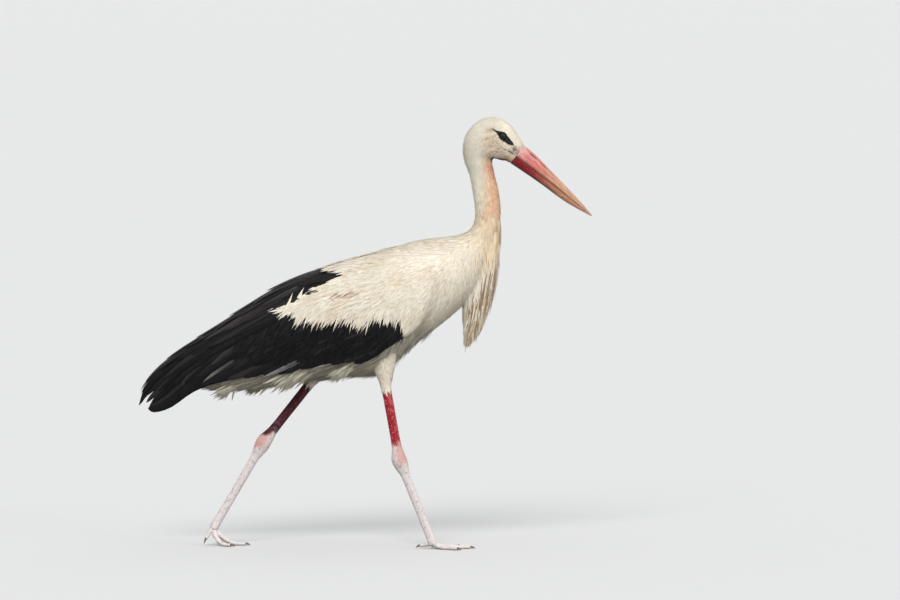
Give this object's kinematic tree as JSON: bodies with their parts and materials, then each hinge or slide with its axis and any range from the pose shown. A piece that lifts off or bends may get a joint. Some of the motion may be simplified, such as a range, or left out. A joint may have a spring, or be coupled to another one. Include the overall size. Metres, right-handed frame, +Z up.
{
  "type": "white stork",
  "caption": "Life-size standing model of a white stork in mid stride, neck upright, long bill held forward and down, wings folded.",
  "frame": {"origin": "on the floor, under the middle of the whole bird's bounding box", "axes": "+X ahead, the way the bird walks; +Y the bird's left; +Z up"},
  "size_m": [0.8659, 0.1828, 0.82],
  "materials": {
    "plumage_white": "cream-white body feathers",
    "plumage_neck": "long loose buff-stained neck feathers",
    "plumage_black": "black flight feathers with a faint sheen",
    "bill": "red horn, satin, paler to the tip",
    "leg_red": "red scaly skin",
    "leg_chalk": "red scaly skin whitened with dried chalky droppings",
    "eye": "wet dark eye",
    "claw": "dull horn"
  },
  "bodies": {
    "root": {"undertail": "plumage_white", "trunk": "plumage_white", "breast": "plumage_white", "neck_lower": "plumage_neck", "neck_upper": "plumage_neck", "eye_left": "eye", "eye_right": "eye", "head": "plumage_white", "bill_upper": "bill", "bill_lower": "bill", "plumes": "plumage_neck", "wing_left_coverts": "plumage_white", "wing_left_secondaries": "plumage_black", "wing_left_scapulars": "plumage_black", "wing_left_primaries": "plumage_black", "wing_right_coverts": "plumage_white", "wing_right_secondaries": "plumage_black", "wing_right_scapulars": "plumage_black", "wing_right_primaries": "plumage_black", "tail": "plumage_white", "thigh_right": "plumage_white", "tibia_right": "leg_red", "hock_right": "leg_chalk", "tarsus_right": "leg_chalk", "toe_right_inner": "leg_chalk", "claw_right_inner": "claw", "toe_right_middle": "leg_chalk", "claw_right_middle": "claw", "toe_right_outer": "leg_chalk", "claw_right_outer": "claw", "palm_right": "leg_chalk", "toe_right_hind": "leg_chalk", "claw_right_hind": "claw", "thigh_left": "plumage_white", "tibia_left": "leg_red", "hock_left": "leg_chalk", "tarsus_left": "leg_chalk", "toe_left_inner": "leg_chalk", "claw_left_inner": "claw", "toe_left_middle": "leg_chalk", "claw_left_middle": "claw", "toe_left_outer": "leg_chalk", "claw_left_outer": "claw", "palm_left": "leg_chalk", "toe_left_hind": "leg_chalk", "claw_left_hind": "claw"}
  },
  "joints": []
}
